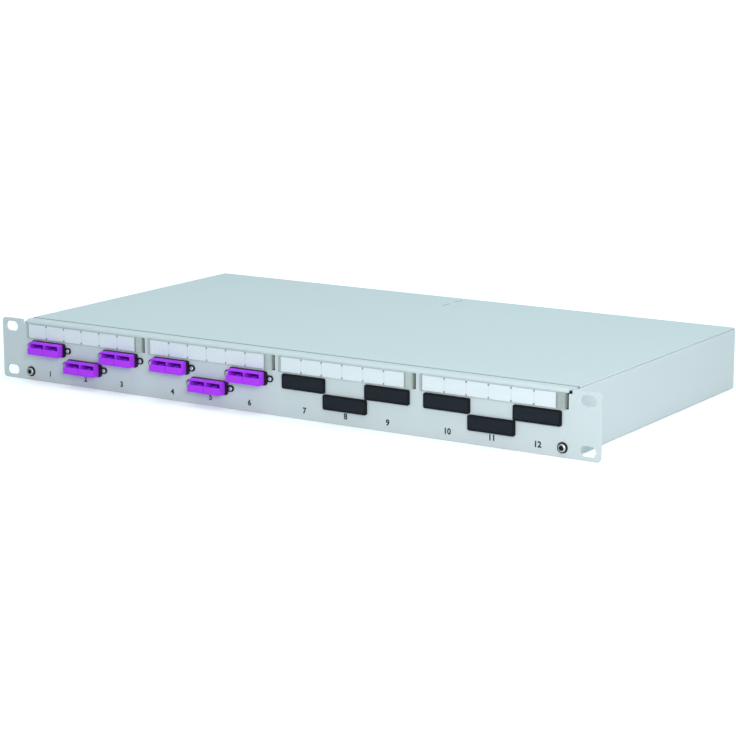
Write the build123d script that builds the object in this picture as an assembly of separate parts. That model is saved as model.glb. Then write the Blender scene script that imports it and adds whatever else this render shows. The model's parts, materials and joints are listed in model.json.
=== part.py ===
from build123d import *
import os

os.makedirs("parts", exist_ok=True)

# Fibre patch panel for a 19 inch rack. X runs along the front, Y from the front into the housing, Z up.
# The origin lies midway between the four rack slots, on the back face of the ears. Millimetres.

# Rack interface
panel_width = 482.6
panel_height = 43.6
rack_slot_edge = 8.75
rack_pitch_z = 31.75
rack_slot_length = 11.0
rack_slot_width = 7.0
ear_corner = 3.0

# Sheet metal housing
housing_width = 443.0
housing_depth = 240.5
plate_sheet = 1.5
tray_sheet = 1.0
cover_sheet = 1.0
plate_bend = 2.0
tray_bend = 1.6
flange_depth = 9.8
flange_slope = 1.2
flange_lip = 6.0
rim_width = 18.0
rear_rim = 5.0
return_width = 15.0
return_height = 12.5
relief_width = 3.2
relief_depth = 3.0
seat_gap = 0.05
cover_gap = 0.1
cover_side_gap = 0.6
seam_gap = 0.3
cover_lip = 11.0

# Ports: four groups of three, staggered high, low, high
group_count = 4
group_pitch = 110.0
port_pitch = 32.6
port_rise = 24.7
port_stagger = 10.4
cutout_width = 26.4
cutout_height = 8.4
fitted_ports = 6

# Quad adapter
adapter_head_width = 27.2
adapter_head_height = 8.8
adapter_head_depth = 4.2
adapter_corner = 0.5
adapter_back = 13.0
adapter_wall = 0.8
adapter_fit = 0.15
lc_pitch = 6.25
divider_wall = 1.2
divider_rise = 4.0
divider_inset = 1.0
web_thickness = 2.0
web_place = 2.6
sleeve_radius = 1.25
sleeve_length = 4.4
barb_rise = 0.5
barb_length = 3.0
frame_width = 30.4
frame_height = 9.6
frame_thickness = 2.0
frame_corner = 1.0
frame_ear_radius = 2.3
frame_ear_thickness = 0.9
adapter_screw_pitch = 35.4
adapter_screw_head = 1.6
adapter_screw_shank = 0.8
adapter_screw_length = 4.6
screw_fit = 0.05
screw_head_rise = 1.1

# Dust caps, front and back
cap_gap = 0.4
cap_height = 4.8
cap_front = 2.3
cap_plug_depth = 5.4
cap_plug_height = 3.2
cap_fit = 0.15
cap_edge = 0.4
cap_clear = 0.1
back_cap_front = 3.0

# Blanking plug
blank_width = 34.0
blank_height = 10.1
blank_head = 1.8
blank_corner = 1.2
blank_border = 1.4
blank_dish = 0.4
blank_leg_depth = 6.0
blank_leg_wall = 1.2
blank_leg_height = 6.4
blank_fit = 0.15

# Label holders
label_length = 97.0
label_shift = -2.2
label_rise = 35.85
strip_height = 9.7
strip_thickness = 0.2
field_count = 6
notch_width = 0.7
notch_depth = 0.6
holder_wall = 0.6
holder_edge = 0.8
holder_back = 0.5
holder_lip = 1.2
holder_slack = 0.1
holder_tab_left = 2.6
holder_tab_right = 5.5
tongue_thickness = 1.0
tongue_inset = 0.1
tongue_depth = 3.4
slot_height = 10.4
slot_left_width = 1.8
slot_left_edge = 0.4
slot_right_width = 3.4
slot_right_edge = 4.2
tongue_fit = 0.3

# Front screws
front_screw_inset = 6.3
front_screw_rise = 6.4
front_screw_shank = 2.0
front_screw_head = 2.8
front_screw_brim = 1.2
front_screw_slope = 1.1
front_screw_dome = 2.2
front_screw_length = 7.0
front_screw_socket = 2.5
front_socket_depth = 1.3
washer_radius = 3.6
washer_thickness = 0.8

# Cover latch spring
slit_x = 3.7
slit_length = 11.4
slit_width = 0.9
slit_step = 17.2
slit_back = 13.0
spring_width = 12.0
spring_thickness = 0.5
spring_margin = 6.0
spring_end_gap = 0.8

# Splice cassette
cassette_length = 160.0
cassette_width = 104.0
cassette_corner = 26.0
cassette_height = 9.0
cassette_wall = 1.4
cassette_lift = 5.0
cassette_place = 150.0
foot_half = 3.5
foot_inset = 18.0
entry_width = 16.0
drum_radius = 30.0
drum_wall = 1.4
drum_mouth = 27.0
drum_spread = 44.0
drum_height = 6.0
stud_radius = 2.5
stud_fit = 0.2
stud_end = 1.0
nut_radius = 6.0
nut_height = 5.0
nut_flat_count = 12
lid_thickness = 1.0
lid_gap = 0.1
hinge_barrel = 1.8
hinge_reach = 0.4
hinge_pin = 0.8
hinge_fit = 0.15
hinge_neck = 0.2
hinge_length = 8.0
hinge_spread = 90.0
comb_length = 30.0
comb_width = 24.0
comb_base = 1.0
comb_height = 4.6
comb_slot_count = 6
comb_slot_width = 2.2
comb_wall = 1.2

# Fibre guide rings on the floor
guide_inset = 71.5
guide_front = 52.0
guide_rear = 178.0
guide_radius = 8.0
guide_wall = 1.8
guide_width = 8.0
guide_mouth = 5.0
guide_mouth_rise = 2.7
guide_foot = 13.0
guide_base = 1.6

# Rear wall: cable entries, earth stud, strain relief
gland_inset = 60.0
entry_step = 60.0
gland_rise = 20.0
gland_thread = 10.0
gland_fit = 0.2
gland_hex = 24.0
gland_collar = 5.0
gland_step = 0.6
gland_nut_radius = 12.5
gland_nut_length = 14.0
gland_nut_mouth = 7.5
gland_nut_nose = 8.7
gland_nut_shoulder = 11.5
gland_nut_cone = 5.6
gland_nut_gap = 0.2
gland_nut_flat_count = 12
seal_bore = 5.0
seal_wall = 2.3
seal_length = 10.0
locknut_hex = 26.0
locknut_thickness = 4.0
gland_inner_length = 8.0
plug_radius = 12.5
plug_top_radius = 10.0
plug_dome = 2.4
plug_skirt = 4.0
plug_wall = 1.5
earth_inset = 16.5
earth_rise = 14.0
earth_radius = 3.0
earth_length = 12.0
earth_hex = 10.0
earth_collar = 4.0
earth_shank = 2.5
earth_nut_hex = 8.0
earth_nut_height = 4.5
earth_flange_radius = 5.4
earth_flange = 1.1
relief_bar_margin = 12.0
relief_bar_foot = 12.0
relief_bar_rise = 14.0
relief_bar_sheet = 1.5
relief_bar_bend = 2.0
relief_bar_back = 36.0
relief_tooth_count = 5
relief_tooth_gap = 3.6
relief_tooth_depth = 7.0

# Pins, sleeves, shanks and their holes are too small to show roundness, so they have few sides
pin_side_count = 12

# What is fused overlaps by the bite, and what cuts runs past by the overrun
bite = 0.5
overrun = 1.0

# Places worked out from the sizes above
face = -plate_sheet
half_housing = housing_width / 2
rack_pitch_x = panel_width - 2 * rack_slot_edge
front_screw_x = half_housing - front_screw_inset
guide_x = half_housing - guide_inset
earth_x = half_housing - earth_inset
relief_bar_length = entry_step + 2 * relief_bar_margin
rim_top = panel_height - cover_sheet - cover_gap
cover_front = face + flange_depth + seam_gap
cover_back = housing_depth
wall_back = housing_depth - cover_sheet - cover_gap
through_wall = (wall_back - 2 * tray_sheet, wall_back + overrun)
floor_top = tray_sheet
group_places = [(i - (group_count - 1) / 2) * group_pitch for i in range(group_count)]
ports = [
    (x + step * port_pitch, port_rise - (port_stagger if step == 0 else 0))
    for x in group_places
    for step in (-1, 0, 1)
]
head_face = face - frame_thickness - adapter_head_depth
through_frame = (face - frame_thickness - overrun, face + overrun)
body_width = cutout_width - 2 * adapter_fit
body_height = cutout_height - 2 * adapter_fit
duplex_width = (adapter_head_width - 3 * divider_wall) / 2
opening_height = body_height - 2 * adapter_wall
opening_bottom = -opening_height / 2
label_starts = [x + label_shift - label_length / 2 for x in group_places]
holder_depth = holder_back + strip_thickness + 2 * holder_slack + holder_wall
holder_back_face = face - cover_gap
through_plate = (face - overrun, overrun)


def export(name, shape):
    """writes one piece, with the housing's mid height moved to Z zero"""
    export_step(Pos(0, 0, -panel_height / 2) * shape, "parts/" + name + ".step")


def block(x, y, z):
    """box between two limits along each axis"""
    return Pos(x[0], y[0], z[0]) * Box(
        x[1] - x[0], y[1] - y[0], z[1] - z[0], align=(Align.MIN, Align.MIN, Align.MIN)
    )


def upright(sketch, x, z, front, back):
    """a sketch drawn in X and Z, made solid from its front to its back"""
    return Pos(x, back, z) * Rot(90, 0, 0) * extrude(sketch, back - front)


def rod(radius, x, z, front, back):
    """round bar along Y"""
    return upright(Circle(radius), x, z, front, back)


def pin(radius, x, z, front, back):
    """small bar along Y with few sides, or the hole for one"""
    return upright(RegularPolygon(radius, pin_side_count), x, z, front, back)


def folded(points, bends, thickness, length, side=Side.RIGHT):
    """sheet bent along an outline of its outer face, then drawn out along the third axis"""
    line = FilletPolyline(*points, radius=bends)
    section = offset(line, thickness, kind=Kind.INTERSECTION, side=side, closed=True)
    return extrude(make_face(section), length)


def along_x(sheet, length):
    """turns a sheet drawn in Y and Z so that it runs along X, centred"""
    return Pos(-length / 2, 0, 0) * Plane.YZ.location * sheet


def mirrored(shape):
    """the piece and its copy on the other side of the middle"""
    return [shape, mirror(shape, Plane.YZ)]


def front_plate():
    """face, ears, top flange and the lip that the cover lies on, from one folded sheet"""
    lip_top = rim_top
    outline = [
        (face, 0),
        (face, panel_height),
        (face + flange_depth - flange_slope, panel_height),
        (face + flange_depth, lip_top),
        (face + flange_depth + flange_lip, lip_top),
    ]
    flange_width = housing_width - 2 * (tray_sheet + seam_gap)
    sheet = along_x(folded(outline, [plate_bend, 0, 0], plate_sheet, flange_width), flange_width)
    ear_face = RectangleRounded(panel_width, panel_height, ear_corner)
    plate = upright(ear_face, 0, panel_height / 2, face, 0)
    middle = (-flange_width / 2, flange_width / 2)
    plate -= block(middle, through_plate, (panel_height - plate_bend, panel_height + overrun))
    plate += sheet
    relief_x = (flange_width / 2 - relief_width / 2, flange_width / 2 + relief_width / 2)
    relief_z = (panel_height - relief_depth, panel_height + overrun)
    for cut in mirrored(block(relief_x, (face - overrun, plate_sheet), relief_z)):
        plate -= cut
    cuts = []
    slot = SlotOverall(rack_slot_length, rack_slot_width)
    for x in (-rack_pitch_x / 2, rack_pitch_x / 2):
        for z in (-rack_pitch_z / 2, rack_pitch_z / 2):
            cuts.append(upright(slot, x, panel_height / 2 + z, *through_plate))
    for number, (x, z) in enumerate(ports):
        cuts.append(upright(Rectangle(cutout_width, cutout_height), x, z, *through_plate))
        if number < fitted_ports:
            for side in (-adapter_screw_pitch / 2, adapter_screw_pitch / 2):
                cuts.append(pin(adapter_screw_shank + screw_fit, x + side, z, *through_plate))
    for start in label_starts:
        low = label_rise - slot_height / 2
        high = label_rise + slot_height / 2
        left = start - slot_left_edge
        right = start + label_length + slot_right_edge
        cuts.append(block((left - slot_left_width, left), through_plate, (low, high)))
        cuts.append(block((right, right + slot_right_width), through_plate, (low, high)))
    cuts += mirrored(pin(front_screw_shank + screw_fit, front_screw_x, front_screw_rise, *through_plate))
    return plate - cuts


def tray():
    """floor, sides with in-turned rims, rear wall and front returns, from one folded sheet"""
    outline = [
        (half_housing - rim_width, rim_top),
        (half_housing, rim_top),
        (half_housing, 0),
        (-half_housing, 0),
        (-half_housing, rim_top),
        (-half_housing + rim_width, rim_top),
    ]
    length = wall_back - seat_gap
    shell = Pos(0, wall_back, 0) * Rot(90, 0, 0) * folded(outline, tray_bend, tray_sheet, length)
    inner = half_housing - tray_sheet
    front_end = face + flange_depth + flange_lip + seam_gap
    rim_z = (rim_top - 2 * tray_sheet, rim_top + overrun)
    for cut in mirrored(block((inner - rim_width, inner), (0, front_end), rim_z)):
        shell -= cut
    notch_x = (inner - rim_width, half_housing + overrun)
    notch_y = (wall_back - tray_sheet, wall_back + overrun)
    for cut in mirrored(block(notch_x, notch_y, (rim_top - tray_bend, rim_top + overrun))):
        shell -= cut
    rear = [
        (wall_back, tray_sheet / 2),
        (wall_back, rim_top),
        (wall_back - rear_rim, rim_top),
    ]
    rear_width = 2 * (half_housing - rim_width)
    shell += along_x(folded(rear, tray_bend, tray_sheet, rear_width, Side.LEFT), rear_width)
    side_z = (tray_sheet / 2, rim_top - tray_bend)
    corner_x = (half_housing - rim_width, inner + bite)
    for corner in mirrored(block(corner_x, (wall_back - tray_sheet, wall_back), side_z)):
        shell += corner
    return_y = (seat_gap, seat_gap + tray_sheet)
    fold = block((inner - return_width, inner + bite), return_y, (tray_sheet / 2, return_height))
    for piece in mirrored(fold):
        shell += piece
    cuts = mirrored(pin(front_screw_shank + screw_fit, front_screw_x, front_screw_rise, -overrun, 2 * tray_sheet))
    for x in entry_places():
        cuts.append(rod(gland_thread + gland_fit, x, gland_rise, *through_wall))
    cuts.append(pin(earth_shank + screw_fit, earth_x, earth_rise, *through_wall))
    cuts.append(post(stud_radius + screw_fit, -overrun, floor_top + overrun))
    return shell - cuts


def post(radius, bottom, top):
    """the cassette's upright stud, or the hole for it"""
    return Pos(0, cassette_place, bottom) * extrude(RegularPolygon(radius, pin_side_count), top - bottom)


def entry_places():
    """cable holes in the rear wall, the outer two for glands and the inner two plugged"""
    outer = half_housing - gland_inset
    inner = outer - entry_step
    return [-outer, -inner, inner, outer]


def relief_places():
    """each strain relief bar is welded to the floor before one pair of cable holes"""
    left, near_left, near_right, right = entry_places()
    return [(left + near_left) / 2, (right + near_right) / 2]


def top_cover():
    """flat sheet with a lip over the rear wall and two slits for the latch spring"""
    width = housing_width - 2 * cover_side_gap
    outline = [
        (cover_front, panel_height),
        (cover_back, panel_height),
        (cover_back, panel_height - cover_lip),
    ]
    cover = along_x(folded(outline, tray_bend, cover_sheet, width), width)
    for y in slit_places():
        cover -= block(
            (slit_x - slit_width / 2, slit_x + slit_width / 2),
            (y - slit_length / 2, y + slit_length / 2),
            (panel_height - 2 * cover_sheet, panel_height + overrun),
        )
    return cover


def slit_places():
    """the two slits lie in one line, front to back"""
    last = cover_back - slit_back
    return [last - slit_step, last]


def latch_spring():
    """leaf under the cover whose two tabs come up through the slits"""
    top = panel_height - cover_sheet
    front = slit_places()[0] - slit_length / 2 - spring_margin
    leaf = block(
        (slit_x - spring_width / 2, slit_x + spring_width / 2),
        (front, wall_back - rear_rim - spring_end_gap),
        (top - spring_thickness, top),
    )
    for y in slit_places():
        leaf += block(
            (slit_x - spring_thickness / 2, slit_x + spring_thickness / 2),
            (y - slit_length / 2 + screw_fit, y + slit_length / 2 - screw_fit),
            (top - spring_thickness, panel_height - screw_fit),
        )
    return leaf


def adapter(x, z):
    """quad housing: wide head before the frame, body through the panel, sleeves on the middle web"""
    head = Rectangle(adapter_head_width, adapter_head_height)
    head = chamfer(head.vertices(), adapter_corner)
    body = upright(head, x, z, head_face, face - frame_thickness)
    trunk = Rectangle(body_width, body_height)
    body += upright(trunk, x, z, face - frame_thickness, adapter_back)
    web_back = web_place + web_thickness
    for side in (-1, 1):
        middle = x + side * (duplex_width + divider_wall) / 2
        mouth = Pos(0, opening_bottom + opening_height / 2) * Rectangle(duplex_width, opening_height)
        body -= upright(mouth, middle, z, head_face - overrun, web_place)
        body -= upright(mouth, middle, z, web_back, adapter_back + overrun)
        low = z + opening_bottom
        body += block(
            (middle - divider_wall / 2, middle + divider_wall / 2),
            (head_face + divider_inset, adapter_back - divider_inset),
            (low, low + divider_rise),
        )
        for port in (-1, 1):
            port_x = middle + port * lc_pitch / 2
            body += pin(sleeve_radius, port_x, low + divider_rise / 2, web_place - sleeve_length, web_place)
            body += pin(sleeve_radius, port_x, low + divider_rise / 2, web_back, web_back + sleeve_length)
    wedge = Polyline((0, 0), (barb_rise, 0), (0, barb_length), close=True)
    wedge = extrude(make_face(wedge), opening_height)
    wedge = Pos(x + body_width / 2, seat_gap, z - opening_height / 2) * wedge
    body += wedge
    body += mirror(wedge, Plane.YZ.offset(x))
    return body


def adapter_frame(x, z):
    """black frame between head and panel, with a round ear at each end for its screw"""
    outline = Rectangle(frame_width, frame_height)
    outline = chamfer(outline.vertices(), frame_corner)
    frame = upright(outline, x, z, face - frame_thickness, face)
    ear = SlotCenterToCenter(adapter_screw_pitch, 2 * frame_ear_radius)
    frame += upright(ear, x, z, face - frame_ear_thickness, face)
    frame -= upright(Rectangle(cutout_width, cutout_height), x, z, *through_frame)
    for side in (-adapter_screw_pitch / 2, adapter_screw_pitch / 2):
        frame -= pin(adapter_screw_shank + screw_fit, x + side, z, *through_frame)
    return frame


def adapter_screws():
    """two small pan head screws in each fitted adapter's frame"""
    seat = face - frame_ear_thickness
    screws = []
    for x, z in ports[:fitted_ports]:
        for side in (-adapter_screw_pitch / 2, adapter_screw_pitch / 2):
            screw = pin(adapter_screw_head, x + side, z, seat - screw_head_rise, seat)
            screw += pin(adapter_screw_shank, x + side, z, seat, seat + adapter_screw_length)
            screws.append(screw)
    return Compound(screws)


def dust_cap(x, z, side):
    """duplex cap: a block before the head and two plugs in the ports below the latch recess"""
    middle = x + side * (duplex_width + divider_wall) / 2
    width = adapter_head_width / 2 - cap_gap / 2
    centre = x + side * (width + cap_gap) / 2
    low = z - adapter_head_height / 2 + cap_clear
    front = head_face - cap_front - cap_clear
    face_sketch = Rectangle(width, cap_height)
    cap = upright(face_sketch, centre, low + cap_height / 2, front, head_face - cap_clear)
    cap = chamfer(cap.faces().sort_by(Axis.Y)[0].edges(), cap_edge)
    port_width = (duplex_width - divider_wall) / 2
    plug_z = z + opening_bottom + cap_fit
    for port in (-1, 1):
        port_x = middle + port * (port_width + divider_wall) / 2
        reach = port_width / 2 - cap_fit
        cap += block(
            (port_x - reach, port_x + reach),
            (head_face - cap_clear - bite, head_face + cap_plug_depth),
            (plug_z, plug_z + cap_plug_height),
        )
    return cap


def back_caps():
    """dust plugs on the back of the six adapters, where the fibres will go"""
    caps = []
    port_width = (duplex_width - divider_wall) / 2
    for x, z in ports[:fitted_ports]:
        for side in (-1, 1):
            middle = x + side * (duplex_width + divider_wall) / 2
            low = z + opening_bottom + cap_fit
            reach = body_width / 4 - cap_gap / 2
            place = x + side * (reach + cap_gap / 2)
            top = low + cap_plug_height
            cap = block((place - reach, place + reach), (adapter_back, adapter_back + back_cap_front), (low, top))
            for port in (-1, 1):
                port_x = middle + port * (port_width + divider_wall) / 2
                half = port_width / 2 - cap_fit
                depth = adapter_back - cap_plug_depth / 2
                cap += block((port_x - half, port_x + half), (depth, adapter_back + bite), (low, top))
            caps.append(cap)
    return Compound(caps)


def blanking_plug(x, z):
    """rounded head with a dished face, and four legs in the cut-out"""
    head_back = face - cover_gap
    head = RectangleRounded(blank_width, blank_height, blank_corner)
    plug = upright(head, x, z, head_back - blank_head, head_back)
    dish = Rectangle(blank_width - 2 * blank_border, blank_height - 2 * blank_border)
    plug -= upright(dish, x, z, head_back - blank_head - overrun, head_back - blank_head + blank_dish)
    outer = cutout_width / 2 - blank_fit
    leg_z = (z - blank_leg_height / 2, z + blank_leg_height / 2)
    leg = block((outer - blank_leg_wall, outer), (head_back - bite, blank_leg_depth), leg_z)
    plug += Pos(x, 0, 0) * leg
    plug += Pos(x, 0, 0) * mirror(leg, Plane.YZ)
    return plug


def label_holder(start):
    """clear channel for the strip, with a tab and a tongue at each end"""
    half = strip_height / 2 + holder_edge
    inner = strip_height / 2 + holder_slack
    mouth = half - holder_edge - holder_lip
    back = holder_back_face
    wall = back - holder_depth + holder_wall
    profile = Polyline(
        (back - holder_depth, -half),
        (back, -half),
        (back, -mouth),
        (back - holder_back, -mouth),
        (back - holder_back, -inner),
        (wall, -inner),
        (wall, inner),
        (back - holder_back, inner),
        (back - holder_back, mouth),
        (back, mouth),
        (back, half),
        (back - holder_depth, half),
        close=True,
    )
    holder = Pos(start, 0, label_rise) * Plane.YZ.location * extrude(make_face(profile), label_length)
    end = start + label_length
    tab_y = (back - holder_back, back)
    tab_z = (label_rise - half, label_rise + half)
    holder += block((start - holder_tab_left, start), tab_y, tab_z)
    holder += block((end, end + holder_tab_right), tab_y, tab_z)
    reach = slot_height / 2 - tongue_fit
    tongue_z = (label_rise - reach, label_rise + reach)
    tongue_y = (back - holder_back, back + tongue_depth)
    left = start - slot_left_edge - slot_left_width / 2 - tongue_thickness / 2
    right = end + holder_tab_right - tongue_inset
    holder += block((left, left + tongue_thickness), tongue_y, tongue_z)
    holder += block((right - tongue_thickness, right), tongue_y, tongue_z)
    return holder


def label_strip(start):
    """writing strip with a notch above and below each division of its fields"""
    outline = Rectangle(label_length - 2 * holder_slack, strip_height)
    field = label_length / field_count
    for division in range(1, field_count):
        for edge in (-strip_height / 2, strip_height / 2):
            place = Pos(division * field - label_length / 2, edge)
            outline -= place * Rectangle(notch_width, 2 * notch_depth)
    back = holder_back_face - holder_back - holder_slack
    return upright(outline, start + label_length / 2, label_rise, back - strip_thickness, back)


def front_screw(x):
    """domed screw with a hexagon socket"""
    seat = face - washer_thickness
    tip = seat - front_screw_dome
    head = rod(front_screw_head, x, front_screw_rise, tip, seat)
    head = chamfer(head.faces().sort_by(Axis.Y)[0].edges(), front_screw_dome - front_screw_brim, front_screw_slope)
    socket = RegularPolygon(front_screw_socket / 2, 6, major_radius=False)
    head -= upright(socket, x, front_screw_rise, tip - overrun, tip + front_socket_depth)
    return head + pin(front_screw_shank, x, front_screw_rise, seat, seat + front_screw_length)


def screw_washer(x):
    """black finishing washer under a front screw"""
    washer = rod(washer_radius, x, front_screw_rise, face - washer_thickness, face)
    bore_front = face - washer_thickness - overrun
    return washer - pin(front_screw_shank + screw_fit, x, front_screw_rise, bore_front, face + overrun)


def cassette():
    """splice cassette: walled base with fibre entries, two open drums and four feet"""
    floor = floor_top + cassette_lift
    outline = RectangleRounded(cassette_length, cassette_width, cassette_corner)
    base = Pos(0, cassette_place, floor) * extrude(outline, cassette_height)
    hollow = offset(outline, -cassette_wall)
    base -= Pos(0, cassette_place, floor + cassette_wall) * extrude(hollow, cassette_height)
    front_wall = cassette_place - cassette_width / 2
    for x in (-1, 1):
        entry_x = x * (cassette_length / 2 - cassette_corner - entry_width / 2)
        base -= block(
            (entry_x - entry_width / 2, entry_x + entry_width / 2),
            (front_wall - overrun, front_wall + 2 * cassette_wall),
            (floor + cassette_wall, floor + cassette_height + overrun),
        )
        for y in (-1, 1):
            foot_x = x * (cassette_length / 2 - foot_inset)
            foot_y = cassette_place + y * (cassette_width / 2 - foot_inset)
            base += block(
                (foot_x - foot_half, foot_x + foot_half),
                (foot_y - foot_half, foot_y + foot_half),
                (floor_top, floor + bite),
            )
    ring = Circle(drum_radius) - Circle(drum_radius - drum_wall)
    gap = Rectangle(2 * drum_radius, drum_mouth)
    for side in (-1, 1):
        open_ring = ring - Pos(-side * drum_radius, 0) * gap
        place = Pos(side * drum_spread, cassette_place, floor + cassette_wall)
        base += place * extrude(open_ring, drum_height)
    base -= post(stud_radius + stud_fit, floor - overrun, floor + cassette_wall + overrun)
    lug_z = hinge_axis_z()
    back = cassette_place + cassette_width / 2
    for x in (-hinge_spread / 2, hinge_spread / 2):
        for side in (-1, 1):
            place = x + side * (hinge_length + hinge_fit)
            base += block(
                (place - hinge_length / 2, place + hinge_length / 2),
                (back - cassette_wall, hinge_axis_y() + hinge_barrel),
                (lug_z - hinge_barrel, lug_z + hinge_barrel),
            )
        pin = Pos(x, hinge_axis_y(), lug_z) * Rot(0, 90, 0) * Cylinder(hinge_pin, 2 * hinge_length)
        base += pin
    return base


def hinge_axis_y():
    """the lid's axis, just behind the cassette's back wall"""
    return cassette_place + cassette_width / 2 + hinge_barrel + hinge_reach


def hinge_axis_z():
    """level with the cassette's rim"""
    return floor_top + cassette_lift + cassette_height - hinge_barrel


def cassette_lid():
    """clear lid with two hinge knuckles that turn on the cassette's pins"""
    bottom = floor_top + cassette_lift + cassette_height + lid_gap
    outline = RectangleRounded(cassette_length, cassette_width, cassette_corner)
    lid = Pos(0, cassette_place, bottom) * extrude(outline, lid_thickness)
    axis_z = hinge_axis_z()
    for x in (-hinge_spread / 2, hinge_spread / 2):
        knuckle = Pos(x, hinge_axis_y(), axis_z) * Rot(0, 90, 0) * Cylinder(hinge_barrel, hinge_length - hinge_fit)
        half = (hinge_length - hinge_fit) / 2
        arm = block(
            (x - half, x + half),
            (hinge_axis_y() - 2 * hinge_barrel, hinge_axis_y() + hinge_barrel),
            (bottom, bottom + lid_thickness),
        )
        neck = block(
            (x - half, x + half),
            (hinge_axis_y() - hinge_neck, hinge_axis_y() + hinge_barrel),
            (axis_z, bottom + lid_thickness),
        )
        lid += knuckle + arm + neck
        lid -= Pos(x, hinge_axis_y(), axis_z) * Rot(0, 90, 0) * Cylinder(hinge_pin + hinge_fit, 2 * hinge_length)
    return lid


def splice_comb():
    """holder for splice sleeves, clipped to the cassette floor before the stud"""
    floor = floor_top + cassette_lift + cassette_wall
    y = cassette_place - cassette_width / 4
    comb = block(
        (-comb_length / 2, comb_length / 2),
        (y - comb_width / 2, y + comb_width / 2),
        (floor, floor + comb_height),
    )
    pitch = comb_slot_width + comb_wall
    first = y - pitch * (comb_slot_count - 1) / 2
    for slot in range(comb_slot_count):
        middle = first + slot * pitch
        comb -= block(
            (-comb_length, comb_length),
            (middle - comb_slot_width / 2, middle + comb_slot_width / 2),
            (floor + comb_base, floor + comb_height + overrun),
        )
    return comb


def cassette_stud():
    """stud pressed into the floor from below, flush with the underside"""
    return post(stud_radius, 0, floor_top + cassette_lift + cassette_wall + nut_height + stud_end)


def cassette_nut():
    """knurled nut that holds the cassette down"""
    bottom = floor_top + cassette_lift + cassette_wall
    nut = Pos(0, cassette_place, bottom) * extrude(RegularPolygon(nut_radius, nut_flat_count), nut_height)
    return nut - post(stud_radius + screw_fit, bottom - overrun, bottom + nut_height + overrun)


def guide_ring(x, y, mouth_side):
    """open ring on a foot, stuck to the floor"""
    ring = Circle(guide_radius) - Circle(guide_radius - guide_wall)
    ring -= Pos(mouth_side * guide_radius, guide_mouth_rise) * Rectangle(4 * guide_wall, guide_mouth)
    centre = guide_radius + guide_base - bite
    sketch = Pos(0, centre) * ring + Pos(0, guide_base / 2) * Rectangle(guide_foot, guide_base)
    return upright(sketch, x, floor_top, y - guide_width / 2, y + guide_width / 2)


def guide_rings():
    """four rings that lead the fibres round the cassette"""
    return Compound(
        [guide_ring(x, y, -1 if x > 0 else 1) for x in (-guide_x, guide_x) for y in (guide_front, guide_rear)]
    )


def relief_bar(x):
    """angle with open slots for cable ties, welded to the floor"""
    y = wall_back - relief_bar_back
    outline = [
        (y - relief_bar_foot / 2, floor_top),
        (y + relief_bar_foot / 2, floor_top),
        (y + relief_bar_foot / 2, floor_top + relief_bar_rise),
    ]
    bar = folded(outline, relief_bar_bend, relief_bar_sheet, relief_bar_length, Side.LEFT)
    bar = along_x(bar, relief_bar_length)
    pitch = relief_bar_length / (relief_tooth_count + 1)
    top = floor_top + relief_bar_rise
    for tooth in range(1, relief_tooth_count + 1):
        middle = tooth * pitch - relief_bar_length / 2
        bar -= block(
            (middle - relief_tooth_gap / 2, middle + relief_tooth_gap / 2),
            (y, y + relief_bar_foot),
            (top - relief_tooth_depth, top + overrun),
        )
    return Pos(x, 0, 0) * bar


def gland_places():
    """the outer cable holes carry glands"""
    places = entry_places()
    return [places[0], places[-1]]


def gland_body(x):
    """threaded tube with a hexagon collar outside the wall"""
    tube_front = wall_back - tray_sheet - gland_inner_length
    tube_back = wall_back + gland_collar + gland_nut_length / 2
    body = rod(gland_thread, x, gland_rise, tube_front, wall_back + gland_collar)
    body += rod(gland_thread - gland_step, x, gland_rise, wall_back + gland_collar - bite, tube_back)
    collar = RegularPolygon(gland_hex / 2, 6, major_radius=False)
    body += upright(collar, x, gland_rise, wall_back, wall_back + gland_collar)
    return body - rod(seal_bore + seal_wall, x, gland_rise, tube_front - overrun, tube_back + overrun)


def gland_seal(x):
    """rubber sleeve that grips the cable"""
    back = wall_back + gland_collar + gland_nut_length / 2
    front = back - seal_length
    seal = rod(seal_bore + seal_wall - screw_fit, x, gland_rise, front, back)
    return seal - rod(seal_bore, x, gland_rise, front - overrun, back + overrun)


def gland_nut(x):
    """dome nut with flats to grip and a cone towards its mouth"""
    front = wall_back + gland_collar + gland_nut_gap
    back = front + gland_nut_length
    grip = back - gland_nut_cone
    nut = upright(RegularPolygon(gland_nut_radius, gland_nut_flat_count), x, gland_rise, front, grip)
    nut += Pos(x, grip, gland_rise) * Rot(-90, 0, 0) * Cone(
        gland_nut_shoulder,
        gland_nut_nose,
        gland_nut_cone,
        align=(Align.CENTER, Align.CENTER, Align.MIN),
    )
    thread = gland_thread - gland_step + screw_fit
    nut -= rod(thread, x, gland_rise, front - overrun, front + gland_nut_length / 2)
    return nut - rod(gland_nut_mouth, x, gland_rise, front - overrun, back + overrun)


def gland_locknut(x):
    """hexagon nut inside the wall"""
    back = wall_back - tray_sheet
    nut = RegularPolygon(locknut_hex / 2, 6, major_radius=False) - Circle(gland_thread + screw_fit)
    return upright(nut, x, gland_rise, back - locknut_thickness, back)


def blind_plug(x):
    """domed plug pressed into a spare cable hole"""
    dome = Pos(x, wall_back, gland_rise) * Rot(-90, 0, 0) * Cone(
        plug_radius, plug_top_radius, plug_dome, align=(Align.CENTER, Align.CENTER, Align.MIN)
    )
    front = wall_back - tray_sheet - plug_skirt
    skirt = rod(gland_thread + gland_fit / 2, x, gland_rise, front, wall_back + bite)
    skirt -= rod(gland_thread - plug_wall, x, gland_rise, front - overrun, wall_back)
    return dome + skirt


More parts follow.
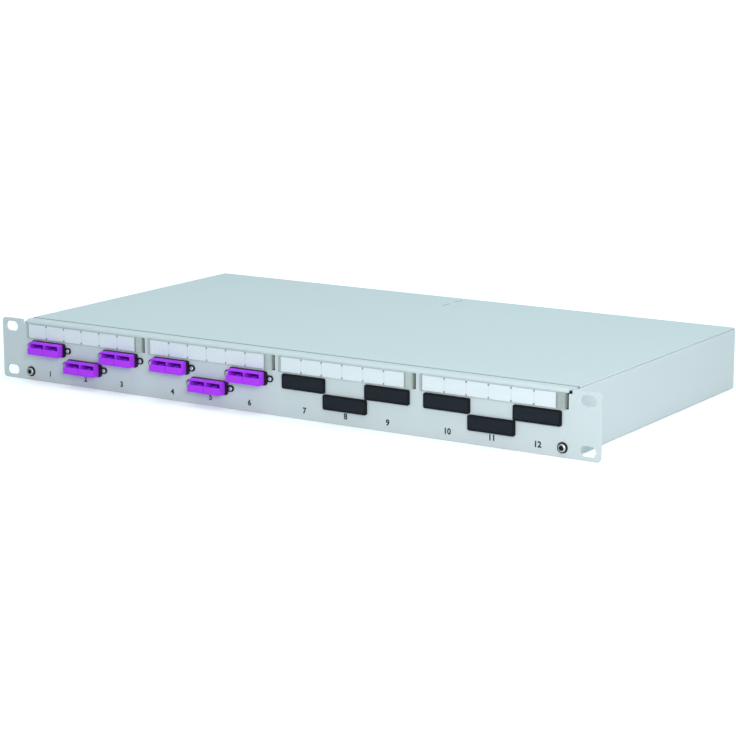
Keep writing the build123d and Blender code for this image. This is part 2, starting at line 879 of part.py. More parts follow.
def earth_stud():
    """stud for the earth lead: thread outside, hexagon collar on the wall, thinner shank through it"""
    collar_back = wall_back + earth_collar
    collar = RegularPolygon(earth_hex / 2, 6, major_radius=False)
    stud = upright(collar, earth_x, earth_rise, wall_back, collar_back)
    stud += rod(earth_radius, earth_x, earth_rise, collar_back - bite, collar_back + earth_length)
    shank_front = wall_back - tray_sheet - earth_nut_height - bite
    return stud + pin(earth_shank, earth_x, earth_rise, shank_front, wall_back + bite)


def earth_nut():
    """flanged nut inside the wall that holds the earth stud"""
    inside = wall_back - tray_sheet
    bore = RegularPolygon(earth_shank + screw_fit, pin_side_count)
    hexagon = RegularPolygon(earth_nut_hex / 2, 6, major_radius=False) - bore
    nut = upright(hexagon, earth_x, earth_rise, inside - earth_nut_height, inside)
    flange = Circle(earth_flange_radius) - bore
    return nut + upright(flange, earth_x, earth_rise, inside - earth_flange, inside)


export("front_plate", front_plate())
export("tray", tray())
export("top_cover", top_cover())
export("latch_spring", latch_spring())
for number, (x, z) in enumerate(ports, start=1):
    if number <= fitted_ports:
        export(f"adapter_{number}", adapter(x, z))
        export(f"adapter_frame_{number}", adapter_frame(x, z))
        export(f"dust_cap_{number}_left", dust_cap(x, z, -1))
        export(f"dust_cap_{number}_right", dust_cap(x, z, 1))
    else:
        export(f"blanking_plug_{number}", blanking_plug(x, z))
export("adapter_screws", adapter_screws())
export("back_caps", back_caps())
for number, start in enumerate(label_starts, start=1):
    export(f"label_holder_{number}", label_holder(start))
    export(f"label_strip_{number}", label_strip(start))
export("front_screws", Compound([front_screw(x) for x in (-front_screw_x, front_screw_x)]))
export("screw_washers", Compound([screw_washer(x) for x in (-front_screw_x, front_screw_x)]))
export("splice_cassette", cassette())
export("cassette_lid", cassette_lid())
export("splice_comb", splice_comb())
export("cassette_stud", cassette_stud())
export("cassette_nut", cassette_nut())
export("guide_rings", guide_rings())
export("relief_bars", Compound([relief_bar(x) for x in relief_places()]))
export("gland_bodies", Compound([gland_body(x) for x in gland_places()]))
export("gland_seals", Compound([gland_seal(x) for x in gland_places()]))
export("gland_nuts", Compound([gland_nut(x) for x in gland_places()]))
export("gland_locknuts", Compound([gland_locknut(x) for x in gland_places()]))
export("blind_plugs", Compound([blind_plug(x) for x in entry_places()[1:-1]]))
export("earth_stud", earth_stud())
export("earth_nut", earth_nut())
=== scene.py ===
import bmesh
import bpy
import json
import math
import numpy as np
from mathutils import Matrix, Vector


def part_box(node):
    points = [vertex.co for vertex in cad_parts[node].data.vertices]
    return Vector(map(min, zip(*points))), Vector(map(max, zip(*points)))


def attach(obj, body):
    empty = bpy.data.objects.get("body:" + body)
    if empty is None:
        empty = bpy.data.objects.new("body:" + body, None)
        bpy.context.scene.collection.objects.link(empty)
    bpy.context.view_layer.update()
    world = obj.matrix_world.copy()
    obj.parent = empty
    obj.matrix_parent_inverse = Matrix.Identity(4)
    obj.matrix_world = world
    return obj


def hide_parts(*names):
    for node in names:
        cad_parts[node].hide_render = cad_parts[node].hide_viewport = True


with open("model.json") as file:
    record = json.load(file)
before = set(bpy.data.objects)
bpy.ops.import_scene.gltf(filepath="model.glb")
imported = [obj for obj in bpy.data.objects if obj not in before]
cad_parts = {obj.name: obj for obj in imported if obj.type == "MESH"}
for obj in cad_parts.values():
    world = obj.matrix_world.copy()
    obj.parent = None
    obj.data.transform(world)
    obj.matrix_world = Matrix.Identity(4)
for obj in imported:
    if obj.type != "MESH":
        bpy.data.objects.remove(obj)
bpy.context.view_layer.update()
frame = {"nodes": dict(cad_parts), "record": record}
nodes = frame["nodes"]
mm = 0.001

# Places read from the frame: the plate's front face, the mid places of the ports and the wall at the back
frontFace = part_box("front_plate")[0].y
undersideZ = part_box("tray")[0].z
fittedPorts = range(1, 7)
blankPorts = range(7, 13)
capNames = [f"dust_cap_{port}_{side}" for port in fittedPorts for side in ("left", "right")]


def middleOf(node):
    low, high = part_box(node)
    return (low + high) / 2


def newObject(name, data):
    made = bpy.data.objects.new(name, data)
    bpy.context.scene.collection.objects.link(made)
    return made


# Camera: where the photo was taken from, fitted to the rack slots, ears, printed numbers and housing corners
cameraSettings = {
    "place": (0.8472, -1.1899, 0.3134),
    "yaw": -33.096,
    "pitch": -11.733,
    "roll": -0.165,
    "focalPixels": 2245.3,
    "imagePixels": 736.0,
    "sensor": 36.0,
    "nearest": 0.01,
    "farthest": 60.0,
}


# Camera axes: forward from yaw and pitch, right level with the ground, both turned by the roll
def makeCamera(settings):
    yaw = math.radians(settings["yaw"])
    pitch = math.radians(settings["pitch"])
    roll = math.radians(settings["roll"])
    forward = Vector((math.sin(yaw) * math.cos(pitch), math.cos(yaw) * math.cos(pitch), math.sin(pitch)))
    right = Vector((math.cos(yaw), -math.sin(yaw), 0.0))
    up = right.cross(forward)
    rolledRight = right * math.cos(roll) + up * math.sin(roll)
    rolledUp = up * math.cos(roll) - right * math.sin(roll)
    data = bpy.data.cameras.new("camera")
    data.sensor_width = settings["sensor"]
    data.lens = settings["focalPixels"] / settings["imagePixels"] * settings["sensor"]
    data.clip_start = settings["nearest"]
    data.clip_end = settings["farthest"]
    camera = newObject("camera", data)
    axes = Matrix((rolledRight, rolledUp, -forward)).transposed()
    camera.matrix_world = Matrix.Translation(settings["place"]) @ axes.to_4x4()
    bpy.context.scene.camera = camera


makeCamera(cameraSettings)
print("camera placed")


# Shader maths: a wire is a socket that can be added, multiplied and so on, and each sum becomes a Math node
class Wire:
    def __init__(self, network, socket):
        self.network = network
        self.socket = socket

    def math(self, operation, first, second):
        return self.network.node("ShaderNodeMath", {"operation": operation}, {0: first, 1: second})

    def __add__(self, other):
        return self.math("ADD", self, other)

    def __sub__(self, other):
        return self.math("SUBTRACT", self, other)

    def __rsub__(self, other):
        return self.math("SUBTRACT", other, self)

    def __mul__(self, other):
        return self.math("MULTIPLY", self, other)

    def __truediv__(self, other):
        return self.math("DIVIDE", self, other)

    def __rtruediv__(self, other):
        return self.math("DIVIDE", other, self)

    def __lt__(self, other):
        return self.math("LESS_THAN", self, other)

    def __gt__(self, other):
        return self.math("GREATER_THAN", self, other)

    __radd__ = __add__
    __rmul__ = __mul__


# A network: the nodes of a material or of the world
class Network:
    def __init__(self, tree):
        self.tree = tree

    # any node: its settings are set first, then the values or wires of its sockets
    def node(self, kind, settings, sockets, output=0):
        made = self.tree.nodes.new(kind)
        for key, value in settings.items():
            setattr(made, key, value)
        for key, value in sockets.items():
            self.feed(self.findSocket(made.inputs, key), value)
        return Wire(self, self.findSocket(made.outputs, output))

    def findSocket(self, sockets, key):
        for socket in sockets:
            if socket.identifier == key:
                return socket
        return sockets[key]

    def feed(self, socket, value):
        if isinstance(value, Wire):
            self.tree.links.new(value.socket, socket)
        elif hasattr(value, "__len__") and len(value) == 3 and socket.type == "RGBA":
            socket.default_value = (*value, 1.0)
        else:
            socket.default_value = value

    # how much of the white background a ray sees: all of it straight or through glass, a share when mirrored
    def whiteShare(self, glossyShare):
        kinds = ("Is Camera Ray", "Is Transmission Ray", "Is Glossy Ray")
        straight, through, mirrored = (self.node("ShaderNodeLightPath", {}, {}, kind) for kind in kinds)
        return straight + through + mirrored * glossyShare


# A finish: one material with its Principled shader, and short calls that feed it
class Finish(Network):
    def __init__(self, name, **plain):
        self.material = bpy.data.materials.new(name)
        self.material.use_nodes = True
        super().__init__(self.material.node_tree)
        self.shader = self.tree.nodes["Principled BSDF"]
        for key, value in plain.items():
            self.shader.inputs[key.replace("_", " ")].default_value = value

    def place(self, stretch=(1.0, 1.0, 1.0)):
        here = self.node("ShaderNodeTexCoord", {}, {}, "Object")
        return self.node("ShaderNodeMapping", {}, {"Vector": here, "Scale": stretch})

    def noise(self, scale, detail=2.0, roughness=0.5, stretch=(1.0, 1.0, 1.0)):
        sockets = {"Vector": self.place(stretch), "Scale": scale, "Detail": detail, "Roughness": roughness}
        return self.node("ShaderNodeTexNoise", {}, sockets, "Fac")

    def blend(self, factor, first, second):
        sockets = {"Factor_Float": factor, "A_Color": first, "B_Color": second}
        return self.node("ShaderNodeMix", {"data_type": "RGBA"}, sockets, "Result_Color")

    # two layers added, the first by its share and the second by the rest
    def layered(self, first, second, share):
        return first * share + second * (1.0 - share)

    def bump(self, height, strength, distance):
        sockets = {"Height": height, "Strength": strength, "Distance": distance}
        self.feed(self.shader.inputs["Normal"], self.node("ShaderNodeBump", {}, sockets, "Normal"))

    def colour(self, value):
        self.feed(self.shader.inputs["Base Color"], value)

    def roughness(self, value):
        self.feed(self.shader.inputs["Roughness"], value)


coverLow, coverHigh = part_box("top_cover")
paint = {
    "pale": (0.63, 0.69, 0.715),
    "deep": (0.60, 0.66, 0.685),
    "shine": 0.30,
    "cloudScale": 5.0,
    "cloudShare": 0.7,
    "grainScale": 1500.0,
    "coarseScale": 500.0,
    "grainShare": 0.6,
    "gloss": 0.54,
    "glossDrift": 0.12,
    "strength": 0.35,
    "relief": 0.00005,
    # painted shade: tint, share and place of a dark band along the gap between the front plate and the cover
    "gapShadeTint": (0.10, 0.12, 0.13),
    "gapShadeShare": 0.55,
    "gapShadeStart": coverLow.y - 0.9 * mm,
    "gapShadeEnd": coverLow.y + 0.5 * mm,
    "gapShadeRise": coverHigh.z - 1.5 * mm,
}


# Powder coat: tint = pale and deep mixed by a slow cloud, roughness = base + grain, height = two grains
# added. Painted shade: the tint darkens in a band along the gap between the plate and the cover, where its
# shadow falls
def powderCoat(name, s):
    finish = Finish(name, IOR=1.5, Specular_IOR_Level=s["shine"])
    back = finish.node("ShaderNodeSeparateXYZ", {}, {"Vector": finish.place()}, "Y")
    rise = finish.node("ShaderNodeSeparateXYZ", {}, {"Vector": finish.place()}, "Z")
    # band of painted shade along the gap between plate and cover
    gapShade = (back > s["gapShadeStart"]) * (back < s["gapShadeEnd"]) * (rise > s["gapShadeRise"])
    cloud = finish.noise(s["cloudScale"], 3.0)
    grain = finish.noise(s["grainScale"], 3.0, 0.6)
    coarse = finish.noise(s["coarseScale"])
    coat = finish.blend(finish.layered(cloud, grain, s["cloudShare"]), s["deep"], s["pale"])
    finish.colour(finish.blend(gapShade * s["gapShadeShare"], coat, s["gapShadeTint"]))
    finish.roughness(s["gloss"] + grain * s["glossDrift"])
    finish.bump(finish.layered(grain, coarse, s["grainShare"]), s["strength"], s["relief"])
    return finish.material


moulding = {
    "flowScale": 60.0,
    "flowStretch": (1.0, 0.4, 2.5),
    "flowShare": 0.6,
    "glossDrift": 0.14,
    "relief": 0.00004,
}


# Moulded plastic: tint lightened a little by flow lines, height = fine spark texture
def mouldedPlastic(name, deep, pale, gloss, grain, strength, shine):
    finish = Finish(name, IOR=1.5, Specular_IOR_Level=shine)
    flow = finish.noise(moulding["flowScale"], 3.0, 0.5, moulding["flowStretch"])
    texture = finish.noise(grain, 3.0, 0.65)
    finish.colour(finish.blend(finish.layered(flow, texture, moulding["flowShare"]), deep, pale))
    finish.roughness(gloss + texture * moulding["glossDrift"])
    finish.bump(texture, strength, moulding["relief"])
    return finish.material


drawing = {
    "lineScale": 900.0,
    "cloudScale": 160.0,
    "lineShare": 0.6,
    "glossDrift": 0.16,
    "strength": 0.25,
    "relief": 0.00002,
}


# Metal: fine scratches along one axis lighten the tint and rough the gloss
def drawnMetal(name, deep, pale, gloss, stretch):
    finish = Finish(name, Metallic=1.0)
    lines = finish.noise(drawing["lineScale"], 4.0, 0.7, stretch)
    cloud = finish.noise(drawing["cloudScale"])
    finish.colour(finish.blend(finish.layered(lines, cloud, drawing["lineShare"]), deep, pale))
    finish.roughness(gloss + lines * drawing["glossDrift"])
    finish.bump(lines, drawing["strength"], drawing["relief"])
    return finish.material


clearFilm = {
    "coat": 0.5,
    "coatGloss": 0.06,
    "flowScale": 45.0,
    "flowStretch": (0.5, 1.0, 2.0),
    "gloss": 0.10,
    "glossDrift": 0.08,
    "coverDrift": 0.05,
    "strength": 0.08,
    "relief": 0.0001,
}


# Clear plastic: see-through film whose tint and gloss drift slightly with the moulding
def clearPlastic(name, s):
    finish = Finish(name, IOR=1.49, Coat_Weight=s["coat"], Coat_Roughness=s["coatGloss"])
    flow = finish.noise(s["flowScale"], stretch=s["flowStretch"])
    finish.colour(finish.blend(flow, s["deep"], s["pale"]))
    finish.roughness(s["gloss"] + flow * s["glossDrift"])
    cover = s["cover"] + flow * s["coverDrift"]
    if "pitch" in s:
        # beyond the window the moulding is thicker: along X, once in every pitch
        along = finish.node("ShaderNodeSeparateXYZ", {}, {"Vector": finish.place()}, "X")
        turns = (along - s["windowStart"]) / s["pitch"] + s["turnsAhead"]
        share = finish.node("ShaderNodeMath", {"operation": "FRACT"}, {0: turns})
        cover = cover + (share > s["windowShare"]) * s["tabCover"]
    finish.feed(finish.shader.inputs["Alpha"], cover)
    finish.bump(flow, s["strength"], s["relief"])
    return finish.material


stripInkAndShade = {
    "fields": 6.0,
    "lineHalf": 0.035,
    "lineStrength": 0.07,
    "tick": 0.13,
    "tickStrength": 0.75,
    # painted shade: width and darkness of a dark line along the strip's right end
    "rim": 0.008,
    "rimStrength": 0.75,
    "deep": (0.80, 0.84, 0.90),
    "pale": (0.87, 0.91, 0.97),
    "ink": (0.05, 0.055, 0.06),
    "fibreScale": 700.0,
    "fibreStretch": (0.35, 1.0, 1.6),
    "gloss": 0.55,
    "glossDrift": 0.15,
    "strength": 0.2,
    "relief": 0.00003,
}


# Paper strip: fibres by stretched noise, a tick at the top and bottom of each division and a painted shade
# line at its right end, read from its own UV
def paperStrip(name, s):
    finish = Finish(name, IOR=1.45)
    spread = finish.node("ShaderNodeUVMap", {"uv_map": "strip"}, {}, "UV")
    along = finish.node("ShaderNodeSeparateXYZ", {}, {"Vector": spread}, "X")
    across = finish.node("ShaderNodeSeparateXYZ", {}, {"Vector": spread}, "Y")
    fieldTurns = along * s["fields"]
    toDivision = finish.node("ShaderNodeMath", {"operation": "PINGPONG"}, {0: fieldTurns, 1: 0.5})
    nearDivision = toDivision < s["lineHalf"]
    inside = (along > 0.5 / s["fields"]) * (along < 1.0 - 0.5 / s["fields"])
    fibres = finish.noise(s["fibreScale"], 4.0, 0.7, s["fibreStretch"])
    paper = finish.blend(fibres, s["deep"], s["pale"])
    tick = (across < s["tick"]) + (across > 1.0 - s["tick"])
    line = nearDivision * inside * (s["lineStrength"] + tick * s["tickStrength"])
    # painted shade: the ink colour darkens the strip's right end, where the holder's channel end shades it
    rim = (along > 1.0 - s["rim"]) * s["rimStrength"]
    finish.colour(finish.blend(line + rim, paper, s["ink"]))
    finish.roughness(s["gloss"] + fibres * s["glossDrift"])
    finish.bump(fibres, s["strength"], s["relief"])
    return finish.material


numberInk = {
    "deep": (0.008, 0.010, 0.012),
    "pale": (0.022, 0.025, 0.028),
    "wearScale": 1800.0,
    "gloss": 0.45,
    "glossDrift": 0.15,
    "strength": 0.2,
    "relief": 0.00002,
}


# Printed ink: near black, thinned here and there by the paint's texture under it
def printedInk(name, s):
    finish = Finish(name, IOR=1.45)
    wear = finish.noise(s["wearScale"], 3.0, 0.6)
    finish.colour(finish.blend(wear, s["deep"], s["pale"]))
    finish.roughness(s["gloss"] + wear * s["glossDrift"])
    finish.bump(wear, s["strength"], s["relief"])
    return finish.material


labelHolders = [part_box(f"label_holder_{strip}") for strip in range(1, 5)]
labelStrips = [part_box(f"label_strip_{strip}") for strip in range(1, 5)]
groupPitch = labelHolders[1][0].x - labelHolders[0][0].x
holderClear = {
    **clearFilm,
    "deep": (0.60, 0.68, 0.66),
    "pale": (0.70, 0.78, 0.76),
    "cover": 0.05,
    "pitch": groupPitch,
    "windowStart": labelStrips[0][0].x,
    "windowShare": (labelStrips[0][1].x - labelStrips[0][0].x) / groupPitch,
    "tabCover": 0.42,
    "turnsAhead": 8.0,  # whole turns, so that the fraction is taken of a number above zero
}
lidClear = {**clearFilm, "deep": (0.62, 0.66, 0.68), "pale": (0.74, 0.78, 0.80), "cover": 0.20}

# Moulded plastics: name, deep and pale tint, roughness, grain scale, strength of the texture and shine
plastics = {
    "violet_plastic": ("violetPlastic", (0.44, 0.040, 0.90), (0.53, 0.052, 1.0), 0.36, 1400.0, 0.2, 0.14),
    "black_plastic": ("blackPlastic", (0.004, 0.005, 0.007), (0.009, 0.011, 0.014), 0.40, 1100.0, 0.5, 0.32),
    "border": ("borderPlastic", (0.003, 0.004, 0.006), (0.007, 0.009, 0.012), 0.46, 1100.0, 0.5, 0.13),
    "dish": ("dishPlastic", (0.006, 0.009, 0.014), (0.013, 0.018, 0.026), 0.58, 900.0, 0.6, 0.18),
    "rubber": ("sealRubber", (0.020, 0.020, 0.021), (0.040, 0.040, 0.042), 0.62, 800.0, 0.6, 0.5),
    "light_plastic": ("lightPlastic", (0.70, 0.71, 0.69), (0.80, 0.80, 0.78), 0.38, 1000.0, 0.25, 0.5),
}
# Metals: name, deep and pale tint, roughness, and how the scratches are stretched
metals = {
    "zinc_steel": ("zincSteel", (0.52, 0.54, 0.55), (0.72, 0.73, 0.72), 0.26, (1.0, 0.15, 1.0)),
    "spring_steel": ("springSteel", (0.20, 0.21, 0.23), (0.32, 0.33, 0.35), 0.30, (1.0, 0.1, 1.0)),
}
finishes = {
    "grey_paint": powderCoat("greyPaint", paint),
    "clear_plastic": clearPlastic("clearPlastic", lidClear),
    "holder": clearPlastic("holderPlastic", holderClear),
    "white_strip": paperStrip("paperStrip", stripInkAndShade),
    "ink": printedInk("printedInk", numberInk),
}
finishes.update({slot: mouldedPlastic(*values) for slot, values in plastics.items()})
finishes.update({slot: drawnMetal(*values) for slot, values in metals.items()})
slotOf = {part["node"]: part["material_slot"] for part in frame["record"]["subparts"]}
bodyOf = {node: body for body, members in frame["record"]["behaviour"]["bodies"].items() for node in members}
for node, piece in nodes.items():
    piece.data.materials.clear()
    piece.data.materials.append(finishes[slotOf[node]])
print("materials made")


# Grids of points: a surface is an array of rows and columns of points, in millimetres until it is placed.
# Quads between neighbouring rows and columns; the last column joins the first
def gridFaces(rows, columns):
    row = np.arange(rows - 1)[:, None] * columns
    column = np.arange(columns)[None, :]
    after = (column + 1) % columns
    corners = (row + column, row + after, row + columns + after, row + columns + column)
    return np.stack(np.broadcast_arrays(*corners), axis=-1).reshape(-1, 4)


sameFinePoint = 2e-7
sameCadPoint = 1e-6


# One mesh from closed shells: their grids are laid end to end, equal points merged, faces turned outwards
def meshOf(name, shells):
    points, faces, start = [], [], 0
    for shell in shells:
        rows, columns = shell.shape[:2]
        points.append(shell.reshape(-1, 3))
        faces.append(gridFaces(rows, columns) + start)
        start += rows * columns
    mesh = bpy.data.meshes.new(name)
    mesh.from_pydata(np.concatenate(points).tolist(), [], np.concatenate(faces).tolist())
    work = bmesh.new()
    work.from_mesh(mesh)
    bmesh.ops.remove_doubles(work, verts=work.verts, dist=sameFinePoint)
    bmesh.ops.recalc_face_normals(work, faces=work.faces)
    work.to_mesh(mesh)
    work.free()
    return mesh


axisTurns = {
    "up": ((1, 0, 0), (0, 1, 0), (0, 0, 1)),
    "front": ((1, 0, 0), (0, 0, 1), (0, -1, 0)),
    "back": ((-1, 0, 0), (0, 0, 1), (0, 1, 0)),
}


# A grid made about an upright axis, laid along another one with its foot at a place
def placed(grid, axis, foot):
    return (grid @ np.array(axisTurns[axis], float)) * mm + np.array(foot, float)


# Angles of a full turn in equal steps, as one row
def turnAngles(steps):
    return np.linspace(0.0, 2.0 * np.pi, steps, endpoint=False)[None, :]


# Ring points: radius by row and angle, height by row, angle by column
def ringPoints(ring, height, turn):
    return np.stack(np.broadcast_arrays(ring * np.cos(turn), ring * np.sin(turn), height), axis=-1)


# Turned rows: a profile of (radius, height, share) carried round the axis; the share says how far the ring
# follows the shape, which multiplies the radius by a function of the angle
def turnedRows(profile, steps, shape=np.ones_like, cap=None):
    radius, height, share = np.array(profile, float).T[:, :, None]
    turn = turnAngles(steps)
    ring = radius * (1.0 + share * (shape(turn) - 1.0))
    return ringPoints(ring if cap is None else np.minimum(ring, cap), height, turn)


# Regular polygon whose flats lie at the radius: one over the cosine of the angle from the nearest flat
def polygonShape(flats):
    sector = 2.0 * np.pi / flats
    return lambda turn: 1.0 / np.cos(np.mod(turn, sector) - sector / 2.0)


# Ribs: a wave of the angle, drawn higher and then cut flat at its crests
def ribShape(count, rise, drawn=1.6):
    return lambda turn: 1.0 + rise * np.clip(drawn * np.cos(count * turn), -1.0, 1.0)


# Cross: each arm ends at the radius, and its sides lie at a share of the radius from its middle line
def crossShape(width):
    def shape(turn):
        fold = np.mod(turn + np.pi / 4.0, np.pi / 2.0) - np.pi / 4.0
        return np.minimum(1.0 / np.cos(fold), width / np.maximum(np.abs(np.sin(fold)), 1e-6))
    return shape


# Thread: the radius less a triangle wave of height over pitch minus the turn, so it climbs a pitch a turn,
# with a flat on crest and root
def threadRows(thread, low, high, steps, chamfer=0.0, flat=0.2):
    rows = int((high - low) / thread["pitch"] * thread["rowsPerPitch"]) + 1
    height = np.linspace(low, high, rows)[:, None]
    turn = turnAngles(steps)
    wave = np.abs(2.0 * np.mod(height / thread["pitch"] - turn / (2.0 * np.pi), 1.0) - 1.0)
    flank = np.clip((1.0 + 2.0 * flat) * wave - flat, 0.0, 1.0)
    crest = thread["radius"] - thread["depth"] * flank
    ring = np.minimum(crest, thread["radius"] - np.clip(chamfer - (high - height), 0.0, None))
    return ringPoints(ring, height, turn)


# Arc of a profile: from one angle to another about a centre, with a radius along each direction
def arcPoints(centre, reach, turns, count, share=0.0):
    turn = np.radians(np.linspace(*turns, count))
    radius = centre[0] + reach[0] * np.cos(turn)
    height = centre[1] + reach[1] * np.sin(turn)
    return np.column_stack([radius, height, np.full(count, share)])


# One grid from blocks of rows laid end to end
def lathe(*blocks):
    return np.concatenate(blocks, axis=0)


# Hexagon prism: flats at the apothem over the height, its corners cut by a cap that is lower at both ends
def hexagonRows(apothem, low, high, bevel, trims, steps):
    profile = [(apothem, height, 1) for height in (low, low + bevel, high - bevel, high)]
    cap = apothem + np.array([trims[0], trims[1], trims[1], trims[0]])[:, None]
    return turnedRows(profile, steps, polygonShape(6), cap)


# A piece of the object: joins its node's body, takes its finish and shades flat faces flat
def settle(piece, node, finishName=None, sharpAngle=30.0):
    mesh = piece.data
    mesh.materials.clear()
    mesh.materials.append(finishes[finishName or slotOf[node]])
    mesh.shade_smooth()
    mesh.set_sharp_from_angle(angle=math.radians(sharpAngle))
    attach(piece, bodyOf[node])
    return piece


# Second finish for the faces that a test on their centres and normals picks out
def addFinish(mesh, finishName, test):
    mesh.materials.append(finishes[finishName])
    centre, normal = (np.empty(len(mesh.polygons) * 3) for _ in range(2))
    mesh.polygons.foreach_get("center", centre)
    mesh.polygons.foreach_get("normal", normal)
    chosen = test(centre.reshape(-1, 3), normal.reshape(-1, 3))
    mesh.polygons.foreach_set("material_index", chosen.astype(np.int32))


# A piece made of closed shells that stands for its node
def madePiece(node, name, shells, finishName=None, sharpAngle=30.0):
    piece = settle(newObject(name, meshOf(name, shells)), node, finishName, sharpAngle)
    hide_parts(node)
    return piece


# A moulded or pressed piece with its edges broken: the solid's own faces, merged and bevelled
def softened(node, width, segments=2, angle=35.0, flatAngle=0.6):
    mesh = nodes[node].data.copy()
    work = bmesh.new()
    work.from_mesh(mesh)
    bmesh.ops.remove_doubles(work, verts=work.verts, dist=sameCadPoint)
    bmesh.ops.dissolve_limit(work, angle_limit=math.radians(flatAngle), verts=work.verts, edges=work.edges)
    work.to_mesh(mesh)
    work.free()
    name = "soft_" + node
    mesh.name = name
    piece = newObject(name, mesh)
    bevel = piece.modifiers.new("edges", "BEVEL")
    bevel.width = width
    bevel.segments = segments
    bevel.limit_method = "ANGLE"
    bevel.angle_limit = math.radians(angle)
    bevel.use_clamp_overlap = True
    bevel.harden_normals = False
    settle(piece, node, "holder" if node.startswith("label_holder") else None)
    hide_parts(node)
    return piece


# Edge radii, in millimetres: cut sheet, moulded plastic and the thin clear parts
edgeRadii = {
    "front_plate": 0.18,
    "tray": 0.15,
    "top_cover": 0.15,
    "latch_spring": 0.06,
    "relief_bars": 0.15,
    "splice_cassette": 0.2,
    "cassette_lid": 0.12,
    "splice_comb": 0.15,
    "guide_rings": 0.25,
    "back_caps": 0.15,
}
for port in fittedPorts:
    edgeRadii[f"adapter_{port}"] = 0.12
    edgeRadii[f"adapter_frame_{port}"] = 0.15
for strip in range(1, 5):
    edgeRadii[f"label_holder_{strip}"] = 0.1
for node, radius in edgeRadii.items():
    softened(node, radius * mm)
print("edges softened")


# Front screws: button head with a hexagon socket, threaded shank, black cup washer under each

frontScrew = {
    "head": 2.65,
    "brim": 0.35,
    "dome": 1.15,
    "domeTurn": 58.0,
    "mouthShare": 0.86,
    "socket": 1.5,
    "socketEdge": 0.12,
    "socketDepth": 1.2,
    "drillCone": 0.3,
    "length": 7.0,
    "thread": {"radius": 2.0, "depth": 0.3, "pitch": 0.7, "rowsPerPitch": 8},
    "steps": 48,
}
cupWasher = {"outer": 3.6, "inner": 2.05, "rise": 0.8, "round": 0.35, "steps": 64}
washerLow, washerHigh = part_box("screw_washers")
washerReach = cupWasher["outer"] * mm
screwPlaces = [washerLow.x + washerReach, washerHigh.x - washerReach]
screwRise = middleOf("screw_washers").z
washerFace = washerLow.y


# Screw: a threaded shank, a brim, an elliptical dome and a hexagon socket sunk into it
def screwRows(s):
    steps, wide, edge = s["steps"], s["socket"], s["socketEdge"]
    dome = arcPoints((0.0, s["brim"]), (s["head"], s["dome"]), (0.0, s["domeTurn"]), 8)
    mouth = s["brim"] + s["dome"] * s["mouthShare"]
    floor = mouth - s["socketDepth"]
    socket = [(wide + edge, mouth, 1), (wide, mouth - edge, 1), (wide, floor, 1)]
    socket += [(0, floor - s["drillCone"], 1)]
    foot = [(0, -s["length"], 0), (s["thread"]["radius"] * 0.7, -s["length"], 0)]
    brim = [(s["head"] - 0.2, 0, 0), (s["head"] - 0.05, 0.06, 0), (s["head"], 0.22, 0)]
    return lathe(
        turnedRows(foot, steps),
        threadRows(s["thread"], -s["length"] + 0.3, 0.0, steps),
        turnedRows(brim, steps),
        turnedRows(dome, steps),
        turnedRows(socket, steps, polygonShape(6)),
    )


# Washer: a closed loop of bore, back, rounded rim and dished face, carried round the axis
def washerRows(s):
    top, edge, bore = s["rise"], s["round"], s["inner"]
    loop = np.vstack([
        [(bore, 0, 0), (s["outer"] - 0.1, 0, 0), (s["outer"], 0.1, 0)],
        arcPoints((s["outer"] - edge, top - edge), (edge, edge), (0.0, 90.0), 5),
        [(bore + 0.8, top, 0), (bore + 0.5, top - 0.2, 0), (bore, top - 0.2, 0), (bore, 0, 0)],
    ])
    return turnedRows(loop, s["steps"])


screwShells = [placed(screwRows(frontScrew), "front", (x, washerFace, screwRise)) for x in screwPlaces]
screwPiece = madePiece("front_screws", "front_screws_domed", screwShells)


# Painted shade in the socket: faces near either screw's axis, before the washer, take the black finish
def socketTest(centre, normal):
    away = np.abs(np.abs(centre[:, 0]) - screwPlaces[1])
    near = np.hypot(away, centre[:, 2] - screwRise) < (frontScrew["socket"] + frontScrew["socketEdge"]) * mm
    return near & (centre[:, 1] < washerFace)


# the black finish in the sockets is painted shade
addFinish(screwPiece.data, "black_plastic", socketTest)
washerShells = [placed(washerRows(cupWasher), "front", (x, frontFace, screwRise)) for x in screwPlaces]
madePiece("screw_washers", "front_washers_cupped", washerShells)


# Adapter screws: small pan heads with a cross recess, two to each fitted port

panScrew = {
    "head": 1.45,
    "brim": 0.45,
    "dome": 0.6,
    "domeTurn": 50.0,
    "mouthShare": 0.8,
    "cross": 0.85,
    "crossWidth": 0.28,
    "crossDepth": 0.6,
    "length": 4.6,
    "spread": 17.7,
    "thread": {"radius": 0.8, "depth": 0.14, "pitch": 0.4, "rowsPerPitch": 6},
    "steps": 32,
}
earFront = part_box("adapter_screws")[1].y - panScrew["length"] * mm


# Pan screw: a threaded shank, a brim, a dome and a cross recess that narrows to its floor
def panRows(s):
    steps, cross = s["steps"], s["cross"]
    dome = arcPoints((0.0, s["brim"]), (s["head"], s["dome"]), (0.0, s["domeTurn"]), 6)
    mouth = s["brim"] + s["dome"] * s["mouthShare"]
    floor = mouth - s["crossDepth"]
    recess = [(cross, mouth, 1), (cross * 0.9, mouth - 0.08, 1), (cross * 0.6, floor, 1), (0, floor, 1)]
    foot = [(0, -s["length"], 0), (s["thread"]["radius"] * 0.5, -s["length"], 0)]
    return lathe(
        turnedRows(foot, steps),
        threadRows(s["thread"], -s["length"] + 0.3, 0.0, steps),
        turnedRows([(s["head"] - 0.15, 0, 0), (s["head"], 0.15, 0)], steps),
        turnedRows(dome, steps),
        turnedRows(recess, steps, crossShape(s["crossWidth"])),
    )


